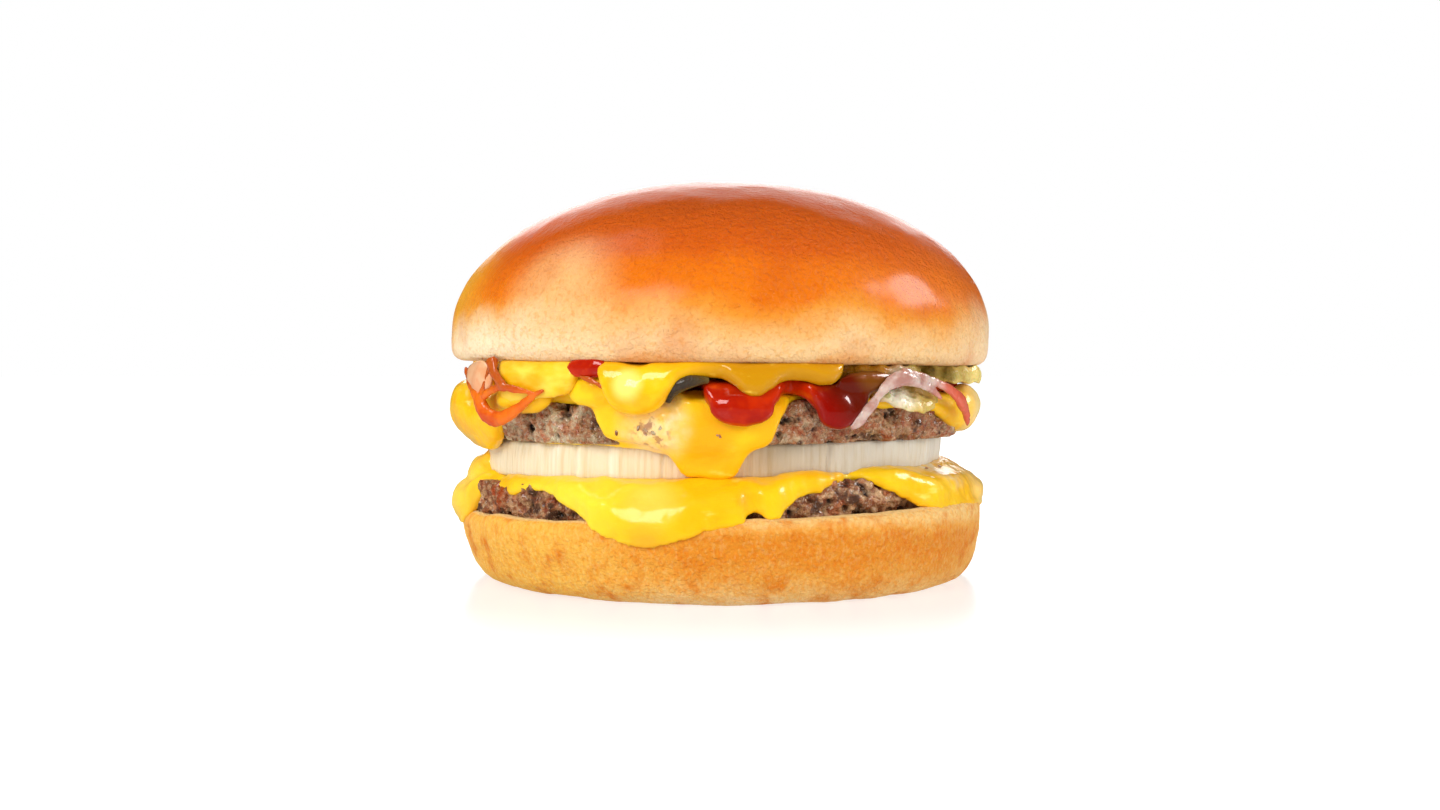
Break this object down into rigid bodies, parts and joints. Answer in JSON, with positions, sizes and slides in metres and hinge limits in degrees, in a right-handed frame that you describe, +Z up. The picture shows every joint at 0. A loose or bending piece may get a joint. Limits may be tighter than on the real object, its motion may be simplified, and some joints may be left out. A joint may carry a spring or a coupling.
{
  "type": "cheeseburger",
  "caption": "Round burger in a glossy soft bun, stacked with thin browned patties, melted cheese, raw onion, pickle chips, ketchup and yellow mustard.",
  "frame": {"origin": "centre of the flat underside of the heel of the bun", "axes": "+Z up through the stack, -Y the side shown to the front, +X to the right of it"},
  "size_m": [0.104, 0.1042, 0.0757],
  "materials": {
    "golden_crust": "soft baked crust, satin",
    "glazed_crust": "glazed baked crust, glossy on top",
    "browned_beef": "rough browned meat, moist",
    "melted_cheese": "melted, glossy",
    "raw_onion": "moist, faintly translucent",
    "dill_pickle": "wet",
    "ketchup": "wet, glossy",
    "yellow_mustard": "wet, glossy"
  },
  "bodies": {
    "root": {"heel": "golden_crust", "lower_patty": "browned_beef", "lower_cheese": "melted_cheese", "onion_slice": "raw_onion", "upper_patty": "browned_beef", "upper_cheese": "melted_cheese", "ketchup": "ketchup", "pickle_chip_front": "dill_pickle", "pickle_chip_corner": "dill_pickle", "pickle_chip_right": "dill_pickle", "pickle_chip_side": "dill_pickle", "mustard": "yellow_mustard", "crown": "glazed_crust"}
  },
  "joints": []
}
